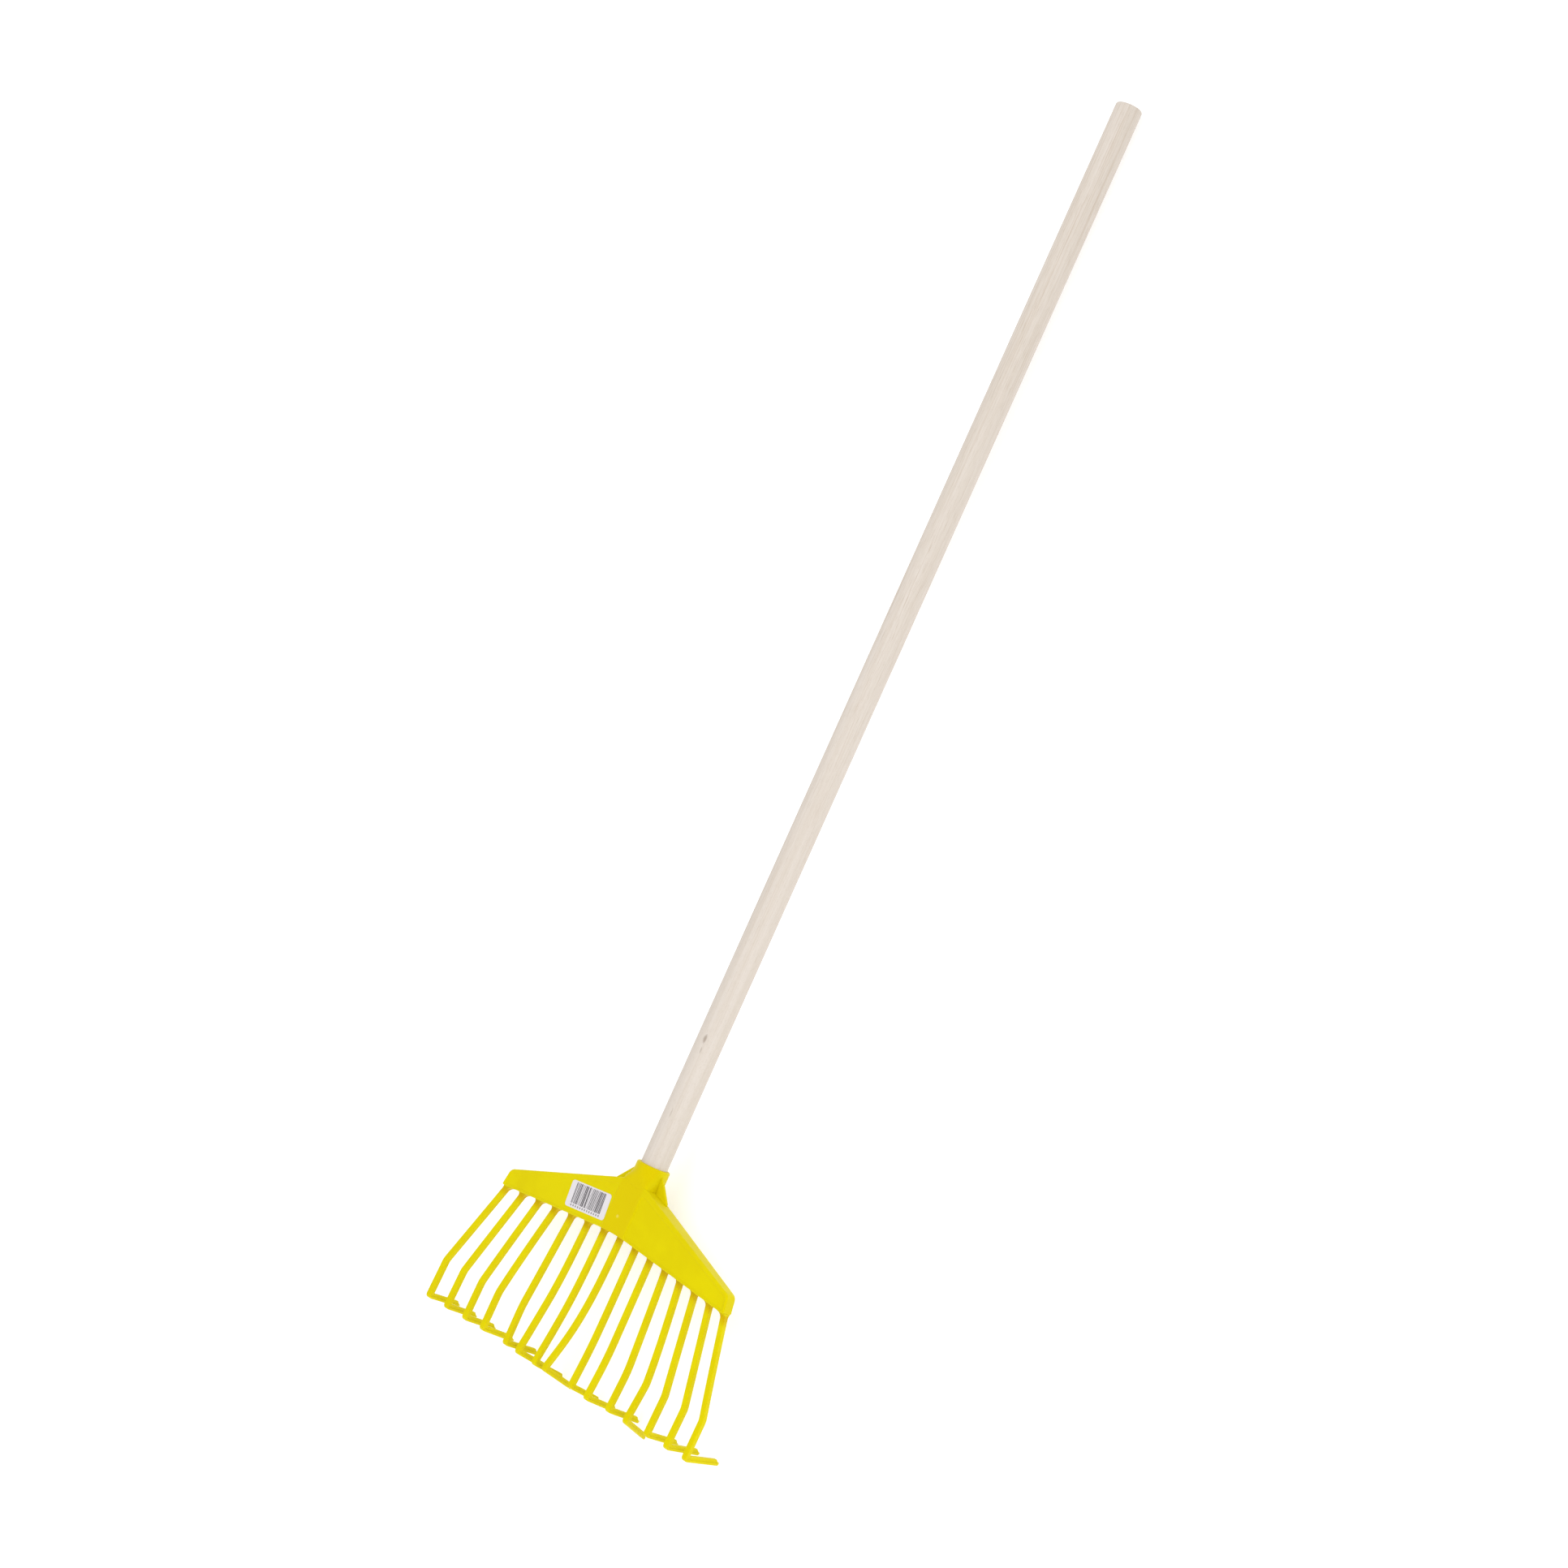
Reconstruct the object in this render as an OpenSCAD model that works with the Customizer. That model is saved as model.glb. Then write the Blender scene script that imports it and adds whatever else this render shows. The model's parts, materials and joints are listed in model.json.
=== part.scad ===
// Hay rake: a round wooden handle in a one-piece moulded head with fifteen hooked tines.
// Millimetres. +Y runs up the handle to its free end, +X across the head, +Z is up.
// The rake lies on the floor, on its hook tips and on the free end of the handle.

/* [Handle] */
// Diameter of the wooden handle
handle_d = 28; // [26:0.5:30]
// Length of handle that stands out of the socket
handle_out = 1157; // [700:1:1500]
// Rounding of the handle's free end
handle_end_r = 2; // [0.5:0.5:4]

/* [Socket] */
// Wall of the collar round the handle
collar_wall = 3.6; // [3.6:0.1:5]
// Length of the collar above the head's face
collar_len = 20; // [14:1:26]
// Rounding of the lip at the socket's mouth
lip_r = 1.8; // [1:0.1:1.9]
// Depth of the socket's bore
socket_depth = 66; // [50:1:68]
// Wall of the barrel behind the head's face
barrel_wall = 2; // [1.6:0.1:2.2]

/* [Head shell] */
// Half width of the head at the top of its ends
wing_top_x = 158.5; // [150:0.5:160]
// Half width of the head at the bottom of its ends
wing_low_x = 162.5; // [158:0.5:168]
// Distance from the socket's mouth to the top edge, carried on to the centre line
wing_top_y = 16; // [12:0.5:20]
// Fall of the top edge for each millimetre across
wing_top_fall = 0.352; // [0.30:0.002:0.38]
// Distance from the socket's mouth to the lower edge at the centre line
low_edge_y = 74.4; // [70:0.5:80]
// Fall of the lower edge for each millimetre across
low_edge_fall = 0.093; // [0:0.005:0.14]
// Height of the front face above the handle's axis at the middle
front_z = 18.2; // [18:0.2:22]
// How much lower the front face is at the ends of the wings
wing_drop = 4; // [1:0.5:6]
// Depth of the open back below the handle's axis
back_z = 3; // [2:0.5:6]
// How much higher the open back is at the ends of the wings
back_rise = 4; // [0:0.5:6]
// Wall of the moulding
shell_wall = 2.5; // [2:0.1:3]
// Depth of the panels pressed into the face of the wings
panel_depth = 0.7; // [0.3:0.1:1.2]
// Rim left above a panel next to the socket
panel_rim = 6; // [3:0.5:8]
// Half width of the plain strip between the two panels
boss_half = 15.7; // [14:0.1:20]

/* [Tines] */
// Distance between tines where they leave the head
root_pitch = 23; // [20:0.25:24]
// Distance between tines at their hooks
tip_pitch = 27.25; // [24:0.25:29]
// Distance from the socket's mouth to the bend that straightens the tines
kink_y = 186; // [160:1:200]
// Distance from the socket's mouth to the outside of the hooks
corner_y = 229.5; // [215:0.5:260]
// Length of the straight part of a hook
hook_l = 47; // [30:1:60]
// Width of a tine's front flange
flange_w = 5.8; // [4:0.1:7]
// Thickness of a tine's front flange
flange_t = 2.6; // [2:0.1:3]
// Thickness of a tine's rib
rib_w = 4; // [2.5:0.1:5]
// Depth of a tine from its flange to the edge of its rib
tine_depth = 6.8; // [5:0.1:8]
// Inner radius of the hook's corner
hook_r = 1; // [0.6:0.2:1.6]
// Outer radius of the hook's corner
corner_r = 4.5; // [4:0.1:6]
// Depth of a hook from its flange to the edge of its rib
hook_depth = 5.9; // [5:0.1:8]
// Height of the middle tine's root above the handle's axis
root_z = 1; // [0:0.5:3]
// How much a tine rises from its root to its corner
tine_rise = 5.6; // [0:0.2:8]
// How much higher the outer tines sit than the middle one
tine_dish = 5.5; // [0:0.5:6]
// Gap round the knuckle on which a tine bends
knuckle_gap = 0.3; // [0.2:0.05:0.5]

/* [Label] */
// Length of the paper label
label_l = 56; // [40:1:60]
// Height of the paper label
label_h = 27; // [15:1:30]
// Thickness of the paper label
label_t = 0.2; // [0.1:0.1:0.4]
// Slant of the label on the wing, in degrees
label_turn = 5.6; // [0:0.2:12]

/* [Hidden] */
$fn = 96;
tine_count = 15;
middle = (tine_count + 1) / 2;

// Moulded tines are never quite even. Each row is one tine, from left to right: how far it
// stands off its even place sideways at its bend and at its corner, how much lower its
// corner is, and the degrees by which its hook is bent open and twisted to the left.
stray = [
    [0, 0, -1, 1, 3],
    [-0.5, -0.5, -1, 2, 3],
    [-0.5, 0, -1, 2, 2],
    [-2, -1, -1.5, 3, 0],
    [5.5, 7, -1.5, 1, 0],
    [3, -1, 0, 9, 0],
    [1, -3, 0.5, 8, 0],
    [-6, -15, 0.5, 12, 0],
    [-1.5, -3, 0.5, 8, 0],
    [-4.5, -6.5, 1.5, 5, 0],
    [-1.5, -2.5, -0.5, 3, 0],
    [-1, -4, 0.5, 14, 9],
    [-1, -1, -1, 1, 0],
    [0, 0, -2, -3, 0],
    [-1, -0.5, -2.5, -5, 0]
];

handle_r = handle_d / 2;
// The handle's end is turned down and tapered where it is pressed into the socket.
seat_r = handle_r - 0.4;
seat_end_r = seat_r - 0.8;
press_gap = 0.02;
collar_r = handle_r + collar_wall;
barrel_r = handle_r + barrel_wall;
barrel_end_y = -low_edge_y + shell_wall;
drop_angle = atan2(wing_drop, wing_top_x - boss_half);
rise_back = atan2(back_rise, wing_top_x - boss_half);

// The root of a tine stands this far below the lower edge
stub_len = 6;
root_fillet = 4;
knuckle_r = tine_depth / 2;
knuckle_w = flange_w + 0.6;
outer_r = hook_r + tine_depth;
// How far pieces of one moulding run into each other
weld = 0.1;
corner_x = wing_top_x - 7;

screw_y = -10;
screw_r = 1.75;
screw_head_r = 3.5;
screw_head_h = 2.2;
screw_len = 14;
hole_gap = 0.02;

gusset_t = 3;
gusset_x = 39;
gusset_z = 1.5;
gusset_top_y = -6;
web_gap = 0.05;

rib_t = 2;

function tine_name(i) = str("tine_", i < 10 ? "0" : "", i);

function top_edge(x) = -wing_top_y - wing_top_fall * abs(x);
function low_edge(x) = -low_edge_y - low_edge_fall * abs(x);
function mirrored(pts) = [for (i = [len(pts) - 1:-1:0]) [-pts[i].x, pts[i].y]];
function shoulder_x() = (collar_len - wing_top_y) / wing_top_fall;

// Plan of the head, drawn in by e on every side.
function right_side(e) = [
    [shoulder_x(), -collar_len - e],
    [corner_x - 0.6 * e, top_edge(corner_x) - e],
    [wing_top_x + 1 - e, top_edge(corner_x) - 7 - 0.4 * e],
    [wing_low_x - e, low_edge(wing_low_x) + e]
];
function head_outline(e) = concat(right_side(e), [[0, low_edge(0) + e]], mirrored(right_side(e)));

// Plan of one recessed panel, on the right wing.
panel_outline = [
    [boss_half, top_edge(boss_half) - panel_rim],
    [wing_top_x - 1.5, top_edge(wing_top_x) - 1.8],
    [wing_low_x - 2.5, low_edge(wing_low_x) + 1.5],
    [boss_half, low_edge(boss_half) + 1.5]
];

// Places of a tine: k counts from the middle tine.
function stray_of(k) = stray[k + middle - 1];
function root_x(k) = k * root_pitch;
function root_y(k) = low_edge(root_x(k)) - stub_len;
function hinge_z(k) = root_z + tine_dish * pow(k / (middle - 1), 2);
function kink_x(k) = k * tip_pitch + stray_of(k)[0];
function hook_x(k) = k * tip_pitch + stray_of(k)[1];
// The shaft ends where the hook's corner starts.
function shaft_end_y(k) = outer_r - corner_y - stray_of(k)[2];
function hook_turn(k) = 90 - stray_of(k)[3];
function rise_angle(k) = atan2(tine_rise, root_y(k) - shaft_end_y(k));
function turned(p, a) = [p.x * cos(a) - p.y * sin(a), p.x * sin(a) + p.y * cos(a)];

// Tip of a hook at radius r, as [y, z] from its hinge along the shaft, and as [y, z] in the
// handle's frame.
function tip_from_hinge(k, r) = let (
    a = hook_turn(k),
    drop = knuckle_r + hook_r - r * cos(a) + hook_l * sin(a)
) [shaft_end_y(k) - root_y(k) - r * sin(a) - hook_l * cos(a), -drop * cos(stray_of(k)[4])];
function hook_tip(k, r) = [root_y(k), hinge_z(k)] + turned(tip_from_hinge(k, r), -rise_angle(k));

// The rake leans until its lowest hook tip and the underside of the handle's end are level.
tips = [for (k = [1 - middle:middle - 1], r = [outer_r - flange_t, outer_r]) hook_tip(k, r)];
end_y = handle_out - handle_end_r;
lean = max([for (p = tips) atan2(-handle_r - p.y, end_y - p.x)]);
lift = -turned([end_y, -handle_r], -lean).y;
near_y = min([for (p = tips) turned(p, -lean).x]);
mid_y = (turned([end_y, handle_r - handle_end_r], -lean).x + handle_end_r + near_y) / 2;
mid_x = (hook_x(middle - 1) + hook_x(1 - middle)) / 2;

// Outline of a strip of width w along a path that runs down -Y, cut square to Y.
function unit(v) = v / norm(v);
function way(path, i) = unit(path[min(i + 1, len(path) - 1)] - path[max(i - 1, 0)]);
function half(path, i, w) = [w / 2 / (i == len(path) - 1 ? 1 : abs(way(path, i).y)), 0];
function strip(path, w) = concat(
    [for (i = [0:len(path) - 1]) path[i] + half(path, i, w)],
    [for (i = [len(path) - 1:-1:0]) path[i] - half(path, i, w)]
);

// Stands the rake, drawn along its handle's axis, on the floor.
module stand() {
    translate([-mid_x, -mid_y, lift])
        rotate([-lean, 0, 0])
            children();
}

// Cuts off what lies above the front face, lowered by depth, and what lies below the
// open back, lowered by more.
module between_faces(depth, more) {
    difference() {
        children();
        for (side = [0, 1])
            mirror([side, 0, 0]) {
                translate([boss_half, -150, front_z - depth])
                    rotate([0, drop_angle, 0])
                        cube([200, 200, 20]);
                translate([boss_half, -150, -back_z - more])
                    rotate([0, -rise_back, 0])
                        translate([0, 0, -20])
                            cube([200, 200, 20]);
            }
    }
}

module along_y(r, y0, y1) {
    translate([0, y0, 0])
        rotate([-90, 0, 0])
            cylinder(r = r, h = y1 - y0);
}

module screw_hole() {
    translate([0, screw_y, -collar_r - 1])
        cylinder(r = screw_r + hole_gap, h = screw_len + 1 + hole_gap);
}

module handle() {
    arc_steps = 6;
    arc = [
        for (i = [0:arc_steps])
            [handle_r - handle_end_r, handle_end_r - handle_out]
                + handle_end_r * [cos(90 * i / arc_steps), -sin(90 * i / arc_steps)]
    ];
    color("#e5dcd2")
        difference() {
            // Turned from a half section whose -Y is the free end.
            rotate([90, 0, 0])
                rotate_extrude()
                    polygon(concat(
                        [[0, socket_depth], [seat_end_r, socket_depth], [seat_r, 0], [handle_r, 0]],
                        arc,
                        [[0, -handle_out]]
                    ));
            screw_hole();
        }
}

module socket() {
    color("#e8d90e")
        difference() {
            union() {
                along_y(collar_r, -collar_len, -lip_r);
                along_y(collar_r - lip_r, -lip_r, 0);
                rotate([90, 0, 0])
                    rotate_extrude()
                        translate([collar_r - lip_r, lip_r])
                            circle(r = lip_r);
                along_y(barrel_r, barrel_end_y, -collar_len);
            }
            rotate([90, 0, 0])
                rotate_extrude()
                    polygon([
                        [0, socket_depth],
                        [seat_end_r + press_gap, socket_depth],
                        [seat_r + press_gap, 0],
                        [seat_r + press_gap, -10],
                        [0, -10]
                    ]);
            screw_hole();
        }
}

module head_block(e, depth, more) {
    z0 = -back_z - more;
    between_faces(depth, more)
        translate([0, 0, z0])
            linear_extrude(front_z - depth - z0)
                polygon(head_outline(e));
}

module panels() {
    for (side = [0, 1])
        mirror([side, 0, 0])
            translate([boss_half, 0, front_z - panel_depth])
                rotate([0, drop_angle, 0])
                    linear_extrude(5)
                        polygon([for (p = panel_outline) [p.x - boss_half, p.y]]);
}

// A short root that carries a tine, with fillets on both sides and a hollow seat for
// its knuckle.
module root_stub(k) {
    edge = low_edge(root_x(k));
    wide = flange_w + 2 * root_fillet;
    // The outer tines stand flush with the ends of the head, with no fillet outside.
    left = k == 1 - middle ? -flange_w / 2 : -wide / 2;
    right = k == middle - 1 ? flange_w / 2 : wide / 2;
    translate([root_x(k), 0, hinge_z(k)])
        difference() {
            translate([left, root_y(k), -knuckle_r])
                cube([right - left, edge - root_y(k) + 1, tine_depth]);
            for (side = [-1, 1])
                translate([side * wide / 2, edge - root_fillet - 0.4, -10]) {
                    cylinder(r = root_fillet, h = 20);
                    translate([-root_fillet, -10, 0])
                        cube([2 * root_fillet, 10, 20]);
                }
            translate([-wide, root_y(k), 0])
                rotate([0, 90, 0])
                    cylinder(r = knuckle_r + knuckle_gap, h = 2 * wide);
        }
}

module head_shell() {
    color("#e6d60d")
        difference() {
            union() {
                difference() {
                    head_block(0, 0, 0);
                    head_block(shell_wall, shell_wall, 1);
                    panels();
                }
                for (k = [1 - middle:middle - 1])
                    root_stub(k);
            }
            along_y(collar_r, -collar_len, 0);
            along_y(barrel_r, barrel_end_y, -collar_len);
        }
}

// Webs that brace the collar against the top edge of the wings.
module gussets() {
    color("#e6d60d")
        for (side = [0, 1])
            mirror([side, 0, 0])
                difference() {
                    translate([0, 0, gusset_z - gusset_t / 2])
                        linear_extrude(gusset_t)
                            polygon([
                                [10, gusset_top_y],
                                [collar_r, gusset_top_y],
                                [gusset_x, top_edge(gusset_x)],
                                [shoulder_x(), -collar_len],
                                [10, -collar_len]
                            ]);
                    along_y(collar_r + web_gap, -collar_len, 0);
                    along_y(barrel_r + web_gap, -collar_len - 10, -collar_len);
                }
}

// Ribs inside the open back, one above each tine.
module back_ribs() {
    color("#dccc0c")
        difference() {
            intersection() {
                head_block(shell_wall, shell_wall, -1);
                for (k = [1 - middle + 1:middle - 2])
                    if (k != 0)
                        translate([root_x(k) - rib_t / 2, -150, -50])
                            cube([rib_t, 150, 100]);
            }
            along_y(collar_r, -collar_len, 0);
            along_y(barrel_r, barrel_end_y, -collar_len);
        }
}

module fixing_screw() {
    color("#b9b9b4")
        translate([0, screw_y, -collar_r]) {
            cylinder(r = screw_r, h = screw_len);
            translate([0, 0, -screw_head_h])
                cylinder(r = screw_head_r, h = screw_head_h);
        }
}

module label() {
    corner = 3;
    left = -boss_half - 2.2 - label_l / 2;
    color("#e9e4e8")
        translate([-boss_half, 0, front_z - panel_depth])
            rotate([0, -drop_angle, 0])
                translate([boss_half + left, -58.8, 0])
                    rotate([0, 0, label_turn])
                        linear_extrude(label_t) {
                            square([label_l, label_h - 2 * corner], center = true);
                            square([label_l - 2 * corner, label_h], center = true);
                            for (x = [-1, 1], y = [-1, 1])
                                translate([x * (label_l / 2 - corner), y * (label_h / 2 - corner)])
                                    circle(r = corner);
                        }
}

// One edge of a hook's side view, round its corner. It runs r0 from the corner's centre
// beside the shaft and r1 from it along the hook, with an arc of radius r_arc between.
function hook_edge(turn, r0, r1, r_arc, len) = let (
    steps = 8,
    x = r0 - r_arc,
    centre = [x, (r1 - r_arc - x * cos(turn)) / sin(turn)]
) concat(
    [[r0, 0]],
    [for (i = [0:steps]) centre + r_arc * [cos(turn * i / steps), sin(turn * i / steps)]],
    [r1 * [cos(turn), sin(turn)] + len * [-sin(turn), cos(turn)]]
);
function reversed(pts) = [for (i = [len(pts) - 1:-1:0]) pts[i]];

// A hook from its corner to its point: x leads away from the corner's centre at the shaft.
module hook(k) {
    turn = hook_turn(k);
    flange_r = outer_r - flange_t;
    rib_r = outer_r - hook_depth;
    arc_in = corner_r - flange_t;
    point_l = 4.5;
    point_half = 0.6;
    outside = hook_edge(turn, outer_r, outer_r, corner_r, hook_l);
    seam = hook_edge(turn, flange_r, flange_r, arc_in, hook_l);
    seam_in = hook_edge(turn, flange_r + weld, flange_r + weld, arc_in + weld, hook_l - 3);
    inside = hook_edge(turn, hook_r, rib_r, hook_r, hook_l - 7);
    rotate([180, -90, 0]) {
        translate([0, 0, -rib_w / 2])
            linear_extrude(rib_w)
                polygon(concat(seam_in, reversed(inside)));
        difference() {
            translate([0, 0, -flange_w / 2])
                linear_extrude(flange_w)
                    polygon(concat(outside, reversed(seam)));
            for (side = [0, 1])
                mirror([0, 0, side])
                    rotate([0, 0, turn])
                        translate([0, hook_l - point_l, flange_w / 2])
                            rotate([-atan2(flange_w / 2 - point_half, point_l), 0, 0])
                                translate([0, -point_l, 0])
                                    cube([2 * outer_r, 4 * point_l, flange_w]);
        }
    }
}

// One tine, from the knuckle it bends on to the point of its hook.
module tine(i) {
    k = i - middle;
    hinge = [root_x(k), root_y(k)];
    kink = [kink_x(k), -kink_y] - hinge;
    last = [hook_x(k), shaft_end_y(k)] - hinge;
    path = [unit(kink) * knuckle_r / 3, kink, last];
    color("#e8d90e")
        translate([hinge.x, hinge.y, hinge_z(k)])
            rotate([-rise_angle(k), 0, 0]) {
                translate([-knuckle_w / 2, 0, 0])
                    rotate([0, 90, 0])
                        cylinder(r = knuckle_r, h = knuckle_w);
                translate([0, 0, knuckle_r - flange_t])
                    linear_extrude(flange_t)
                        polygon(strip(path, flange_w));
                translate([0, 0, -knuckle_r])
                    linear_extrude(tine_depth - flange_t + weld)
                        polygon(strip(path, rib_w));
                translate([last.x, last.y, 0])
                    rotate([0, stray_of(k)[4], 0])
                        translate([0, 0, -knuckle_r - hook_r])
                            hook(k);
            }
}

stand() handle();
stand() socket();
stand() head_shell();
stand() gussets();
stand() back_ribs();
stand() fixing_screw();
stand() label();
for (i = [1:tine_count])
    stand() tine(i);
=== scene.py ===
"""Looks of the hay rake: a yellow moulded head, a pale wooden handle and a paper label.

Shapes are drawn in the handle's frame, in millimetres: X runs across the head, Y up the
handle, Z out of the head's face, and the origin is the middle of the socket's mouth.
"""

import json
from math import acos, atan2, ceil, cos, hypot, pi, radians, sin, sqrt, tan

import bmesh
import bpy
from mathutils import Matrix, Vector
from mathutils.geometry import delaunay_2d_cdt


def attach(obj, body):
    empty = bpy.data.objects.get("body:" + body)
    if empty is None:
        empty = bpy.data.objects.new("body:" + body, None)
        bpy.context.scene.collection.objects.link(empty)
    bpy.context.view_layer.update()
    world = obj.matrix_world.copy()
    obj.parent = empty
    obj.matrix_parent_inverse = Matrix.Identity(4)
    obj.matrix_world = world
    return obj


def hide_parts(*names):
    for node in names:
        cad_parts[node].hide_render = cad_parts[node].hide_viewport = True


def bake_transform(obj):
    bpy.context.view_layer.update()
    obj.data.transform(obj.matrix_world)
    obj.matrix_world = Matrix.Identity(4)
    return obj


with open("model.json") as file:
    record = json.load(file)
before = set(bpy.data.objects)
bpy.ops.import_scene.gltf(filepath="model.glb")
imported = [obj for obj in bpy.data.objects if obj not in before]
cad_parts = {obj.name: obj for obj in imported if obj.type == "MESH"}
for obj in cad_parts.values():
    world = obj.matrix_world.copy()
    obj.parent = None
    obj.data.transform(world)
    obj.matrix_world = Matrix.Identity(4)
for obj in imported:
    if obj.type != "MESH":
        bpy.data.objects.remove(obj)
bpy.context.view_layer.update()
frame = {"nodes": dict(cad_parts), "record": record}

MM = 0.001

# Sizes of the design.
HANDLE_R = 14
HANDLE_OUT = 1157
HANDLE_END_R = 2
SEAT_R = 13.6
SEAT_END_R = 12.8
SOCKET_DEPTH = 66
COLLAR_R = 17.6

WING_TOP_X = 158.5
WING_LOW_X = 162.5
TOP_Y = -16
TOP_FALL = 0.352
LOW_Y = -74.4
LOW_FALL = 0.093
FRONT_Z = 18.2
WING_DROP = 4
BACK_Z = -3
BACK_RISE = 4
WALL = 2.5
BOSS_HALF = 15.7
SHOULDER_Y = -20
PANEL_RIM = 6
PANEL_DEPTH = 0.7
# How far a panel's edge is moved in and down, ring by ring, over its rounded step.
PANEL_STEP = [(0, 0), (0.25, 0.08), (0.55, 0.35), (0.85, 0.62), (1.2, PANEL_DEPTH)]
GATE_MARK = (-1.8, -58)

LABEL_WIDE = 56
LABEL_HIGH = 27
LABEL_THICK = 0.2
LABEL_CORNER = 3
LABEL_MIDDLE = (-45.9, -58.8)
LABEL_TURN = 5.6

TINES = 15
MIDDLE = 8
ROOT_PITCH = 23
TIP_PITCH = 27.25
KINK_Y = -186
CORNER_Y = -229.5
STUB_L = 6
ROOT_Z = 1
DISH = 5.5
RISE = 5.6
HOOK_L = 47
POINT_L = 4.5
POINT_HALF = 0.6
RIB_FROM = 7.0
RIB_TO = 3.0
FLANGE_HALF = 2.9
FLANGE_T = 2.6
RIB_HALF = 2
DEPTH = 6.8
HOOK_DEPTH = 5.9
INNER_R = 1
CORNER_R = 4.5
OUTER_R = INNER_R + DEPTH
SEAM_R = OUTER_R - FLANGE_T
ROOT_FILLET = 5

# How each tine strays from its even place, from left to right: sideways at its bend and at
# its corner, down at its corner, and the degrees its hook is bent open and twisted.
STRAY = [
    (0, 0, -1, 1, 3),
    (-0.5, -0.5, -1, 2, 3),
    (-0.5, 0, -1, 2, 2),
    (-2, -1, -1.5, 3, 0),
    (5.5, 7, -1.5, 1, 0),
    (3, -1, 0, 9, 0),
    (1, -3, 0.5, 8, 0),
    (-6, -15, 0.5, 12, 0),
    (-1.5, -3, 0.5, 8, 0),
    (-4.5, -6.5, 1.5, 5, 0),
    (-1.5, -2.5, -0.5, 3, 0),
    (-1, -4, 0.5, 14, 9),
    (-1, -1, -1, 1, 0),
    (0, 0, -2, -3, 0),
    (-1, -0.5, -2.5, -5, 0),
]

# The mount on the handle gives the handle's axis and its middle.
grip = frame["record"]["mounts"][0]
AXIS = Vector(grip["axis"])
MOUTH = Vector(grip["pos_m"]) - AXIS * (HANDLE_OUT / 2 * MM)
ACROSS = Vector((1, 0, 0))
OUT = ACROSS.cross(AXIS)
TURN = Matrix((ACROSS, AXIS, OUT)).transposed()

# The camera stands in front of the head's face, well to its right, and looks at the handle.
CAMERA_SWING = radians(40)
CAMERA_TILT = radians(-1.793)
CAMERA_ROLL = radians(24.2)
CAMERA_SPOT = (1862.98, 305.3, 2279.12)
CAMERA_LENS = 68.11

# How finely shapes are cut.
CORNER_STEPS = 8
SIDE_PITCH = 6
FILL_PITCH = 7


def row(p):
    """A point of the handle's frame, in mm, as a point of the row frame, in metres."""
    return MOUTH + TURN @ (Vector(p) * MM)


# ---- mesh helpers ----

def weighted(obj):
    """Smooth shading that keeps the flats flat beside their rounded edges."""
    obj.data.shade_smooth()
    modifier = obj.modifiers.new("normals", "WEIGHTED_NORMAL")
    modifier.weight = 100
    modifier.keep_sharp = True
    depsgraph = bpy.context.evaluated_depsgraph_get()
    final = bpy.data.meshes.new_from_object(obj.evaluated_get(depsgraph))
    obj.modifiers.clear()
    rough = obj.data
    obj.data = final
    bpy.data.meshes.remove(rough)
    final.name = obj.name


def piece(name, points, faces, material):
    """An object from points of the handle's frame, with its faces turned outwards."""
    mesh = bpy.data.meshes.new(name)
    mesh.from_pydata([row(p) for p in points], [], faces)
    bm = bmesh.new()
    bm.from_mesh(mesh)
    bmesh.ops.recalc_face_normals(bm, faces=bm.faces)
    bm.to_mesh(mesh)
    bm.free()
    obj = bpy.data.objects.new(name, mesh)
    bpy.context.scene.collection.objects.link(obj)
    weighted(obj)
    obj.data.materials.append(material)
    return obj


class Shape:
    """Points and faces as they are added, ring by ring."""

    def __init__(self):
        self.points = []
        self.faces = []

    def ring(self, points):
        """Adds a ring of points and returns their numbers."""
        start = len(self.points)
        self.points.extend(points)
        return list(range(start, len(self.points)))

    def join(self, a, b):
        """A band of faces between two rings with as many points."""
        n = len(a)
        for i in range(n):
            j = (i + 1) % n
            self.faces.append((a[i], a[j], b[j], b[i]))

    def loft(self, rings):
        """Bands between all the rings in order; returns the first ring and the last."""
        ids = [self.ring(r) for r in rings]
        for a, b in zip(ids, ids[1:]):
            self.join(a, b)
        return ids[0], ids[-1]

    def solid(self, rings):
        """Bands between all the rings, with a cap at each end."""
        first, last = self.loft(rings)
        self.faces.append(tuple(first))
        self.faces.append(tuple(last))


def circle(r, around):
    """Points evenly round a circle about the origin."""
    return [(r * cos(2 * pi * i / around), r * sin(2 * pi * i / around)) for i in range(around)]


def inset(polygon, e):
    """A counter-clockwise polygon with its sides moved in by e, or by e[i] for side i."""
    n = len(polygon)
    shifts = e if isinstance(e, (list, tuple)) else [e] * n
    lines = []
    for i in range(n):
        a, b = Vector(polygon[i]), Vector(polygon[(i + 1) % n])
        way = (b - a).normalized()
        lines.append((a + shifts[i] * Vector((-way.y, way.x)), way))
    corners = []
    for i in range(n):
        (p, u), (q, v) = lines[i - 1], lines[i]
        cross = u.x * v.y - u.y * v.x
        t = ((q - p).x * v.y - (q - p).y * v.x) / cross
        corners.append(p + t * u)
    return corners


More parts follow.
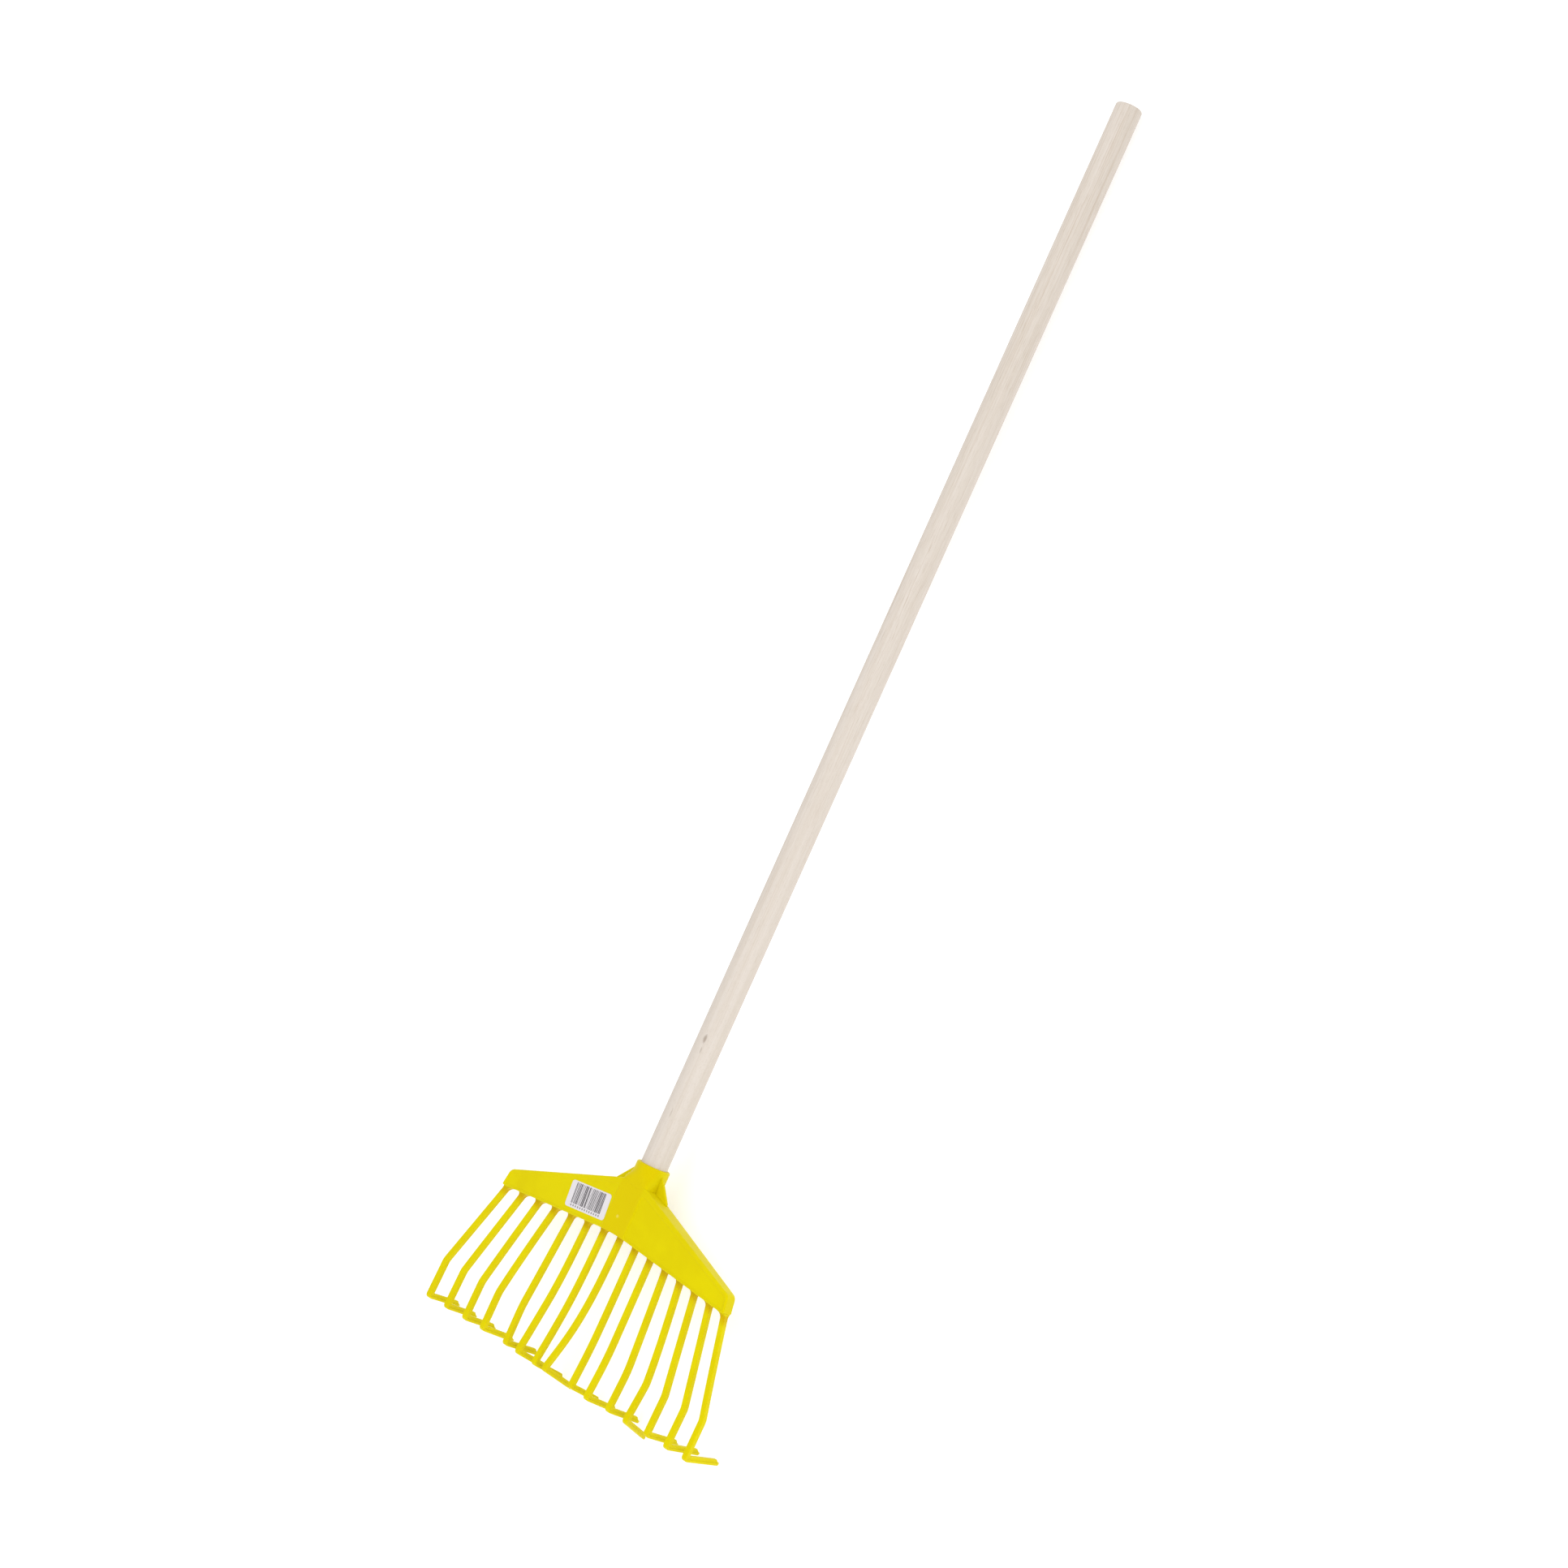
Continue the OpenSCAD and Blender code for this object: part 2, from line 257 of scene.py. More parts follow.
def rounded(polygon, radii, steps):
    """The polygon with each corner replaced by an arc of steps + 1 points.

    An arc takes up at most a fixed share of each side, so a radius may come out smaller.
    """
    most = 0.45
    n = len(polygon)
    out = []
    for i in range(n):
        a, p, b = Vector(polygon[i - 1]), Vector(polygon[i]), Vector(polygon[(i + 1) % n])
        to_a, to_b = a - p, b - p
        la, lb = to_a.length, to_b.length
        to_a.normalize()
        to_b.normalize()
        half = acos(max(-1, min(1, to_a.dot(to_b)))) / 2
        reach = min(radii[i] / tan(half), most * la, most * lb)
        start, end = p + reach * to_a, p + reach * to_b
        pull = p - (start + end) / 2
        r = reach * tan(half)
        centre = p - pull.normalized() * (r / sin(half)) if pull.length > 1e-9 else p
        a0 = atan2(start.y - centre.y, start.x - centre.x)
        a1 = atan2(end.y - centre.y, end.x - centre.x)
        turn = (a1 - a0 + pi) % (2 * pi) - pi
        for s in range(steps + 1):
            a = a0 + turn * s / steps
            out.append(centre + r * Vector((cos(a), sin(a))))
    return out


def spread(loop, counts):
    """The loop with extra points on its sides; counts gives the parts of each side."""
    out = []
    for i, p in enumerate(loop):
        q = loop[(i + 1) % len(loop)]
        for s in range(counts[i]):
            out.append(p + (q - p) * (s / counts[i]))
    return out


def side_parts(outline):
    """For spread(): each arc step stays whole, and each side is cut at an even pitch."""
    counts = []
    for p, q in zip(outline, outline[1:] + outline[:1]):
        length = hypot(q[0] - p[0], q[1] - p[1])
        counts += [1] * CORNER_STEPS + [max(1, round(length / SIDE_PITCH))]
    return counts


def mirrored(outline):
    """The outline on the other side of the middle, still counter-clockwise."""
    return [(-x, y) for x, y in reversed(outline)]


def inside(p, loop):
    """Whether the point is inside the loop, by counting crossings."""
    hit = False
    for i, a in enumerate(loop):
        b = loop[i - 1]
        if (a.y > p.y) != (b.y > p.y) and p.x < (b.x - a.x) * (p.y - a.y) / (b.y - a.y) + a.x:
            hit = not hit
    return hit


def fill(shape, outer, holes, height):
    """Fills the region between rings of points with triangles that follow height(x)."""
    pitch = FILL_PITCH
    loops = [outer] + holes
    flat = [[Vector(shape.points[i][:2]) for i in loop] for loop in loops]
    ids = [i for loop in loops for i in loop]
    coords = [p for loop in flat for p in loop]
    edges = []
    base = 0
    for loop in flat:
        edges += [(base + i, base + (i + 1) % len(loop)) for i in range(len(loop))]
        base += len(loop)
    low = [min(p[a] for p in flat[0]) for a in (0, 1)]
    high = [max(p[a] for p in flat[0]) for a in (0, 1)]
    near = pitch / 2
    for i in range(1, ceil((high[0] - low[0]) / pitch)):
        for j in range(1, ceil((high[1] - low[1]) / pitch)):
            p = Vector((low[0] + i * pitch, low[1] + j * pitch))
            if not inside(p, flat[0]) or any(inside(p, hole) for hole in flat[1:]):
                continue
            if min((p - q).length for q in coords[:base]) < near:
                continue
            ids.append(len(shape.points))
            shape.points.append((p.x, p.y, height(p.x)))
            coords.append(p)
    verts, _, triangles, originals, _, _ = delaunay_2d_cdt(coords, edges, [], 1, 1e-6)
    for t in triangles:
        middle = sum((verts[i] for i in t), Vector((0, 0))) / 3
        if inside(middle, flat[0]) and not any(inside(middle, hole) for hole in flat[1:]):
            shape.faces.append(tuple(ids[originals[i][0]] for i in t))


# ---- materials ----

class Nodes:
    """A material's node tree, with short calls to add and join nodes."""

    def __init__(self, name):
        self.material = bpy.data.materials.new(name)
        self.material.use_nodes = True
        self.tree = self.material.node_tree
        self.shader = self.tree.nodes["Principled BSDF"]

    def add(self, kind, **values):
        """A new node, with its settings."""
        node = self.tree.nodes.new(kind)
        for key, value in values.items():
            setattr(node, key, value)
        return node

    def link(self, source, target):
        """Joins an output to an input."""
        self.tree.links.new(source, target)

    def math(self, operation, a, b=None, clamp=False):
        """A sum on one or two values, each a number or an output."""
        node = self.add("ShaderNodeMath", operation=operation, use_clamp=clamp)
        for socket, value in zip(node.inputs, (a, b)):
            if value is None:
                continue
            if isinstance(value, (int, float)):
                socket.default_value = value
            else:
                self.link(value, socket)
        return node.outputs[0]

    def ramp(self, value, low, high, to_low=0.0, to_high=1.0):
        """A smooth passage from to_low to to_high while the value goes from low to high."""
        node = self.add("ShaderNodeMapRange", interpolation_type="SMOOTHSTEP")
        self.link(value, node.inputs["Value"])
        node.inputs["From Min"].default_value = low
        node.inputs["From Max"].default_value = high
        node.inputs["To Min"].default_value = to_low
        node.inputs["To Max"].default_value = to_high
        return node.outputs[0]

    def mix(self, factor, base, other):
        """The base, a colour or an output, with another colour laid over it."""
        node = self.add("ShaderNodeMix", data_type="RGBA")
        self.link(factor, node.inputs[0])
        if isinstance(base, tuple):
            node.inputs[6].default_value = base
        else:
            self.link(base, node.inputs[6])
        node.inputs[7].default_value = other
        return node.outputs[2]

    def split(self, vector):
        """The three parts of a vector."""
        node = self.add("ShaderNodeSeparateXYZ")
        self.link(vector, node.inputs[0])
        return node.outputs

    def place(self):
        """Coordinates in the handle's frame, in mm."""
        where = self.add("ShaderNodeTexCoord").outputs["Object"]
        shift = self.add("ShaderNodeVectorMath", operation="SUBTRACT")
        self.link(where, shift.inputs[0])
        shift.inputs[1].default_value = MOUTH
        axes = self.add("ShaderNodeCombineXYZ")
        for axis, socket in zip((ACROSS, AXIS, OUT), axes.inputs):
            dot = self.add("ShaderNodeVectorMath", operation="DOT_PRODUCT")
            self.link(shift.outputs[0], dot.inputs[0])
            dot.inputs[1].default_value = axis / MM
            self.link(dot.outputs["Value"], socket)
        return axes.outputs[0]

    def scaled(self, vector, factors):
        """A vector with each part multiplied by its factor."""
        node = self.add("ShaderNodeVectorMath", operation="MULTIPLY")
        self.link(vector, node.inputs[0])
        node.inputs[1].default_value = factors
        return node.outputs[0]

    def noise(self, vector, scale, detail, roughness=0.5):
        """Noise with features of about 1 / scale."""
        node = self.add("ShaderNodeTexNoise")
        self.link(vector, node.inputs["Vector"])
        node.inputs["Scale"].default_value = scale
        node.inputs["Detail"].default_value = detail
        node.inputs["Roughness"].default_value = roughness
        return node.outputs["Fac"]

    def bump(self, height, distance, strength):
        """Small relief; distance is in metres."""
        node = self.add("ShaderNodeBump")
        node.inputs["Distance"].default_value = distance
        node.inputs["Strength"].default_value = strength
        self.link(height, node.inputs["Height"])
        self.link(node.outputs[0], self.shader.inputs["Normal"])

    def set(self, **values):
        """Plain values of the shader."""
        for key, value in values.items():
            self.shader.inputs[key.replace("_", " ")].default_value = value


def srgb(r, g, b):
    """A colour given as on a screen, from 0 to 255, as linear light."""
    def linear(c):
        c /= 255
        return c / 12.92 if c <= 0.04045 else ((c + 0.055) / 1.055) ** 2.4
    return (linear(r), linear(g), linear(b), 1.0)


def plastic():
    """Yellow moulded plastic, with shade painted on the middle strip and at the tines' roots.
    """
    m = Nodes("head_plastic")
    place = m.place()
    x, y, _ = m.split(place)
    across = m.math("ABSOLUTE", x)
    cloud = m.noise(place, 0.03, 3.0)
    fine = m.noise(place, 0.9, 3.0, 0.6)
    colour = m.mix(m.ramp(cloud, 0.35, 0.65), srgb(216, 202, 2), srgb(212, 196, 2))
    # Painted shade: behind the strip lies the barrel with the wood in it. The plastic lets a
    # little light through elsewhere, so the strip is painted darker to stand for that.
    ragged = m.math("ADD", across, m.math("MULTIPLY", m.math("SUBTRACT", cloud, 0.5), 8.0))
    strip = m.math("MULTIPLY", m.ramp(ragged, 13.5, 17.5, 1.0, 0.0), m.ramp(y, -82, -74))
    colour = m.mix(m.math("MULTIPLY", strip, 0.75), colour, srgb(211, 189, 2))
    # Painted shade and bounced light: the tines are darker and more orange just below the
    # head's edge, which shades them.
    edge = m.math("SUBTRACT", LOW_Y, m.math("MULTIPLY", across, LOW_FALL))
    below = m.math("SUBTRACT", edge, y)
    root = m.math("MULTIPLY", m.ramp(below, 0.0, 2.0), m.ramp(below, 3.0, 13.0, 1.0, 0.0))
    colour = m.mix(m.math("MULTIPLY", root, 0.8), colour, srgb(200, 164, 2))
    # The gate mark is a little pale.
    off = m.add("ShaderNodeVectorMath", operation="DISTANCE")
    m.link(place, off.inputs[0])
    off.inputs[1].default_value = (*GATE_MARK, FRONT_Z)
    nub = m.ramp(off.outputs["Value"], 1.0, 2.2, 0.35, 0.0)
    colour = m.mix(nub, colour, srgb(240, 225, 120))
    m.link(colour, m.shader.inputs["Base Color"])
    m.link(m.ramp(fine, 0.3, 0.7, 0.44, 0.54), m.shader.inputs["Roughness"])
    m.set(IOR=1.3, Specular_IOR_Level=0.4, Specular_Tint=(1.0, 0.9, 0.1, 1),
          Subsurface_Weight=0.1, Subsurface_Scale=0.002, Subsurface_Radius=(1.0, 0.8, 0.1))
    m.bump(fine, 0.00002, 0.5)
    return m.material


# Marks on the wood: middle, half sizes, colour and strength.
WOOD_MARKS = [
    ((3.5, 136, 13.5), (2.2, 5.5, 6), srgb(126, 106, 86), 0.55),
    ((4.5, 124, 13.5), (1.0, 4.0, 6), srgb(142, 125, 106), 0.35),
    ((3.0, 56, 13.5), (0.9, 6.0, 6), srgb(158, 142, 124), 0.4),
    ((-6.0, 610, 12.5), (0.7, 30.0, 6), srgb(166, 150, 133), 0.35),
    ((2.0, 860, 13.5), (0.6, 40.0, 6), srgb(170, 155, 138), 0.3),
]


def wood():
    """Pale straight-grained wood, more streaked towards the free end."""
    m = Nodes("handle_wood")
    place = m.place()
    # The grain wanders slowly along the handle.
    drift = m.noise(m.scaled(place, (1, 0.02, 1)), 0.05, 2.0)
    bent = m.add("ShaderNodeVectorMath", operation="MULTIPLY_ADD")
    m.link(place, bent.inputs[0])
    bent.inputs[1].default_value = (1, 1, 1)
    sway = m.add("ShaderNodeCombineXYZ")
    m.link(m.math("MULTIPLY", drift, 14.0), sway.inputs[0])
    m.link(m.math("MULTIPLY", drift, 9.0), sway.inputs[2])
    m.link(sway.outputs[0], bent.inputs[2])
    grain = bent.outputs[0]
    bands = m.noise(m.scaled(grain, (0.16, 0.003, 0.16)), 1.0, 3.0, 0.55)
    lines = m.noise(m.scaled(grain, (0.9, 0.006, 0.9)), 1.0, 4.0, 0.65)
    pores = m.noise(m.scaled(grain, (3.2, 0.05, 3.2)), 1.0, 2.0, 0.6)
    colour = m.mix(m.ramp(bands, 0.3, 0.7), srgb(214, 205, 196), srgb(209, 199, 188))
    _, y, _ = m.split(place)
    streaked = m.ramp(y, 100, 800, 0.35, 0.9)
    colour = m.mix(m.math("MULTIPLY", m.ramp(lines, 0.48, 0.7), streaked), colour,
                   srgb(197, 183, 168))
    colour = m.mix(m.math("MULTIPLY", m.ramp(pores, 0.54, 0.76), streaked), colour,
                   srgb(180, 165, 147))
    for centre, size, shade, strength in WOOD_MARKS:
        off = m.add("ShaderNodeVectorMath", operation="SUBTRACT")
        m.link(place, off.inputs[0])
        off.inputs[1].default_value = centre
        shrunk = m.scaled(off.outputs[0], [1 / s for s in size])
        reach = m.add("ShaderNodeVectorMath", operation="LENGTH")
        m.link(shrunk, reach.inputs[0])
        rough = m.math("ADD", reach.outputs["Value"], m.math("MULTIPLY", lines, 1.2))
        spot = m.ramp(rough, 0.9, 1.7, strength, 0.0)
        colour = m.mix(spot, colour, shade)
    mottle = m.noise(m.scaled(place, (0.7, 0.3, 0.7)), 1.0, 3.0, 0.7)
    speckled = m.ramp(y, 100, 800, 0.35, 0.1)
    colour = m.mix(m.math("MULTIPLY", m.ramp(mottle, 0.5, 0.75), speckled), colour,
                   srgb(190, 178, 160))
    m.link(colour, m.shader.inputs["Base Color"])
    m.link(m.ramp(lines, 0.3, 0.7, 0.62, 0.78), m.shader.inputs["Roughness"])
    m.set(Specular_IOR_Level=0.25)
    m.bump(m.math("ADD", lines, pores), 0.00012, 0.6)
    return m.material


def steel():
    """Dull, slightly worn steel."""
    m = Nodes("screw_steel")
    place = m.place()
    worn = m.noise(place, 1.4, 3.0)
    colour = m.mix(worn, (0.42, 0.42, 0.4, 1), (0.6, 0.6, 0.58, 1))
    m.link(colour, m.shader.inputs["Base Color"])
    m.link(m.ramp(worn, 0.2, 0.8, 0.3, 0.5), m.shader.inputs["Roughness"])
    m.set(Metallic=1.0)
    return m.material


def paper():
    """White label paper with plain printed bars, and short blocks in place of figures."""
    m = Nodes("label_paper")
    spot = m.add("ShaderNodeAttribute", attribute_name="spot")
    u, v, _ = m.split(spot.outputs["Vector"])

    def between(value, low, high):
        return m.math("MULTIPLY", m.math("GREATER_THAN", value, low),
                      m.math("LESS_THAN", value, high))

    # One bar in each of 33 strips, with a width of its own.
    along = m.math("MULTIPLY", u, 33.0)
    dice = m.add("ShaderNodeTexWhiteNoise", noise_dimensions="1D")
    m.link(m.math("ADD", m.math("FLOOR", along), 3.5), dice.inputs["W"])
    width = m.math("ADD", m.math("MULTIPLY", dice.outputs["Value"], 0.6), 0.25)
    bar = m.math("LESS_THAN", m.math("FRACT", along), width)
    bars = m.math("MULTIPLY", bar, between(u, 0.125, 0.872))
    bars = m.math("MULTIPLY", bars, between(v, 0.17, 0.95))
    cell = m.math("FRACT", m.math("MULTIPLY", u, 17.0))
    blocks = m.math("MULTIPLY", between(cell, 0.25, 0.75), between(u, 0.10, 0.88))
    blocks = m.math("MULTIPLY", blocks, between(v, 0.06, 0.135))
    ink = m.math("ADD", bars, m.math("MULTIPLY", blocks, 0.7), clamp=True)
    fibre = m.noise(m.place(), 3.0, 4.0, 0.7)
    sheet = m.mix(m.ramp(fibre, 0.3, 0.7), srgb(221, 217, 220), srgb(216, 212, 215))
    colour = m.mix(m.math("MULTIPLY", ink, 0.9), sheet, srgb(46, 40, 46))
    m.link(colour, m.shader.inputs["Base Color"])
    m.set(Roughness=0.6, Specular_IOR_Level=0.3)
    m.bump(fibre, 0.00002, 0.4)
    return m.material


PLASTIC = plastic()
WOOD = wood()
STEEL = steel()
PAPER = paper()


# ---- the handle ----

def build_handle():
    """The pole, turned from a profile of (radius, height) points."""
    around = 96
    profile = [(SEAT_END_R - 0.6, -SOCKET_DEPTH), (SEAT_END_R, -SOCKET_DEPTH + 0.6),
               (SEAT_R, -0.4), (HANDLE_R, 0.3)]
    stretches = 40
    top = HANDLE_OUT - HANDLE_END_R
    profile += [(HANDLE_R, top * s / stretches) for s in range(1, stretches)]
    arc = 8
    for s in range(arc + 1):
        a = pi / 2 * s / arc
        profile.append((HANDLE_R - HANDLE_END_R * (1 - cos(a)), top + HANDLE_END_R * sin(a)))
    shape = Shape()
    rings = []
    for r, y in profile:
        rings.append([(x, y, z) for x, z in circle(r, around)])
    shape.solid(rings)
    handle = piece("handle_pole", shape.points, shape.faces, WOOD)
    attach(handle, "rake_frame")
    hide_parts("handle")


# ---- the head ----

def low_edge(x):
    """The height of the head's lower edge at x."""
    return LOW_Y - LOW_FALL * abs(x)


def top_edge(x):
    """The height of the head's upper edge at x."""
    return TOP_Y - TOP_FALL * abs(x)


def outward(x):
    """How far along a wing x is, from 0 at the strip in the middle to 1 at the end."""
    return max(0.0, abs(x) - BOSS_HALF) / (WING_TOP_X - BOSS_HALF)


def face_z(x):
    """How far out the head's face is at x."""
    return FRONT_Z - WING_DROP * outward(x)


def back_z(x):
    """How far out the rim of the head's back is at x."""
    return BACK_Z + BACK_RISE * outward(x)


def tray_plan():
    """The head's outline, and the radius of each of its corners."""
    shoulder_x = (SHOULDER_Y - TOP_Y) / -TOP_FALL
    end_x = WING_TOP_X + 0.6
    right = [
        (WING_LOW_X, low_edge(WING_LOW_X)),
        (end_x, top_edge(WING_TOP_X) + 0.6),
        (shoulder_x, SHOULDER_Y),
    ]
    plan = [(0, LOW_Y)] + right + mirrored(right)
    return plan, [260, 2.2, 7.5, 6, 6, 7.5, 2.2]


def panel_plan(side):
    """The outline of the right panel (side 1) or the left one (side -1), and its radii."""
    low_rim = 1.7
    plan = [
        (BOSS_HALF, low_edge(BOSS_HALF) + low_rim),
        (WING_LOW_X - 2.8, low_edge(WING_LOW_X) + low_rim),
        (WING_TOP_X - 1.6, top_edge(WING_TOP_X) - 2.2),
        (BOSS_HALF, top_edge(BOSS_HALF) - PANEL_RIM),
    ]
    radii = [4, 2.5, 3, 4.5]
    if side < 0:
        return mirrored(plan), radii[::-1]
    return plan, radii


def panel_rings(side):
    """The rounded step round a panel, from the face down to the panel's floor."""
    plan, radii = panel_plan(side)
    counts = side_parts(plan)
    rings = []
    for e, down in PANEL_STEP:
        corners = rounded(inset(plan, e - 0.3), [r - e for r in radii], CORNER_STEPS)
        rings.append([(p.x, p.y, face_z(p.x) - down) for p in spread(corners, counts)])
    return rings


def build_tray():
    """The open-backed shell of the head, with its edges rounded and its panels sunk."""
    plan, radii = tray_plan()
    counts = side_parts(plan)

    def loop(e, height, shares=(1,) * 7):
        corners = rounded(inset(plan, [e * share for share in shares]),
                          [max(r - e, 0.3) for r in radii], CORNER_STEPS)
        return [(p.x, p.y, height(p.x)) for p in spread(corners, counts)]

    # The outside, from the back's rim to the face. The low edge and the ends are rounded less.
    shape = Shape()
    edge_r = 1.8
    rounds = (0.5, 0.6, 1, 1, 1, 0.6, 0.5)
    rings = [loop(0.5, back_z), loop(0, lambda x: back_z(x) + 0.5)]
    arc = 6
    for s in range(arc + 1):
        a = pi / 2 * s / arc
        rings.append(loop(edge_r * (1 - cos(a)),
                          lambda x, a=a: face_z(x) - edge_r * (1 - sin(a)), rounds))
    outer_rim, face_rim = shape.loft(rings)

    panels = [shape.loft(panel_rings(side)) for side in (1, -1)]
    fill(shape, face_rim, [top_ring for top_ring, _ in panels], face_z)
    for _, floor_ring in panels:
        fill(shape, floor_ring, [], lambda x: face_z(x) - PANEL_DEPTH)

    # The hollow behind the face.
    inner = [
        loop(WALL - 0.5, back_z),
        loop(WALL, lambda x: back_z(x) + 0.5),
        loop(WALL, lambda x: face_z(x) - WALL - 1.2),
        loop(WALL + 0.35, lambda x: face_z(x) - WALL - 0.35),
        loop(WALL + 1.2, lambda x: face_z(x) - WALL),
    ]
    inner_rim, ceiling = shape.loft(inner)
    fill(shape, ceiling, [], lambda x: face_z(x) - WALL)
    shape.join(outer_rim, inner_rim)
    tray = piece("head_tray", shape.points, shape.faces, PLASTIC)
    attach(tray, "rake_frame")
    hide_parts("head_shell")


def build_gate_mark():
    """The small nub left where the plastic was let into the mould."""
    shape = Shape()
    around = 20
    mark_x, mark_y = GATE_MARK
    rings = []
    for r, h in ((1.5, -0.2), (1.3, 0.1), (1.0, 0.24), (0.6, 0.36), (0.2, 0.4)):
        rings.append([(mark_x + x, mark_y + y, FRONT_Z + h) for x, y in circle(r, around)])
    shape.solid(rings)
    mark = piece("gate_mark", shape.points, shape.faces, PLASTIC)
    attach(mark, "rake_frame")


def build_collar_blend():
    """The front of the collar runs smoothly into the flat face of the head.

    Each ring's front is a superellipse that goes from the collar's circle to a square. The
    first rings rise out of the collar, and the last one sinks into the face.
    """
    around = 96
    start_y, end_y, steps = -4, -25, 24
    proud = 0.04
    hidden_r = COLLAR_R - 2.2
    shape = Shape()
    rings = []
    for s in range(steps + 1):
        share = s / steps
        ease = share * share * (3 - 2 * share)
        power = 2 + 6 * ease ** 3
        rise = min(0, -0.35 + 1.6 * share)
        sunk = 0.3 if s == steps else 0
        wide = COLLAR_R + proud + rise + 0.2 * ease
        high = COLLAR_R + proud + rise + (FRONT_Z - COLLAR_R) * ease - sunk
        y = start_y + (end_y - start_y) * share
        ring = []
        for i in range(around):
            a = 2 * pi * i / around
            if sin(a) > 0:
                r = (abs(cos(a) / wide) ** power + (sin(a) / high) ** power) ** (-1 / power)
            else:
                r = hidden_r + (wide - hidden_r) * max(0, 1 + sin(a) * 8)
            ring.append((r * cos(a), y, r * sin(a)))
        rings.append(ring)
    shape.solid(rings)
    blend = piece("collar_blend", shape.points, shape.faces, PLASTIC)
    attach(blend, "rake_frame")


def build_webs():
    """The two webs beside the collar, with their edges rounded."""
    shape = Shape()
    half_t = 1.5
    mid_z = 1.5
    edge = 0.9
    arc = 4
    for side in (1, -1):
        plan = [(12, -23), (39.5, -29.9), (18.4, -6.2), (12, -6.2)]
        radii = [0.5, 1.5, 2.0, 0.5]
        if side < 0:
            plan = mirrored(plan)
            radii = radii[::-1]
        rings = []
        for up in (-1, 1):
            angles = [pi / 2 * s / arc for s in range(arc + 1)]
            for a in (reversed(angles) if up < 0 else angles):
                corners = rounded(inset(plan, edge * (1 - cos(a))), radii, 6)
                z = mid_z + up * (half_t - edge * (1 - sin(a)))
                rings.append([(p.x, p.y, z) for p in corners])
        shape.solid(rings)
    webs = piece("collar_webs", shape.points, shape.faces, PLASTIC)
    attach(webs, "rake_frame")
    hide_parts("gussets")


# ---- the tines ----

def section(flange, rib, r_in, r_seam, r_out):
    """The T of a tine, as (sideways, outwards) points; flange and rib give each half width."""
    corners = [(flange[1], r_out), (-flange[0], r_out), (-flange[0], r_seam), (-rib[0], r_seam),
               (-rib[0], r_in), (rib[1], r_in), (rib[1], r_seam), (flange[1], r_seam)]
    radii = (0.7, 0.7, 0.4, 0.4, 0.6, 0.6, 0.4, 0.4)
    return rounded(corners, radii, 3)


def corner_reach(angle, turn, r, arc_r):
    """How far the rounded outside of a hook's corner is from the corner's centre."""
    centre = Vector((r - arc_r, (r - arc_r) * tan(turn / 2)))
    start = atan2(centre.y, r)
    if angle <= start:
        return r / cos(angle)
    if angle >= turn - start:
        return r / cos(turn - angle)
    along = centre.x * cos(angle) + centre.y * sin(angle)
    return along + sqrt(max(arc_r ** 2 - centre.length_squared + along ** 2, 0))


def sideways(y, soft, kink, last, even, bend, corner):
    """How far a tine is to the side of its root, at y along its shaft."""
    slope = even / kink
    if y > kink + soft:
        x = slope * y
    elif y < kink - soft:
        x = even
    else:
        x = even + slope * (y - kink + soft) ** 2 / (4 * soft)
    # The stray part is a natural spline through the root, the bend and the corner.
    a, b = -kink, kink - last
    m = 3 * ((corner - bend) / b - bend / a) / (a + b)
    u = -y
    if u <= a:
        return x + m * u ** 3 / (6 * a) + (bend / a - m * a / 6) * u
    v = u - a
    return x + m * (b - v) ** 3 / (6 * b) + corner / b * v + (bend / b - m * b / 6) * (b - v)


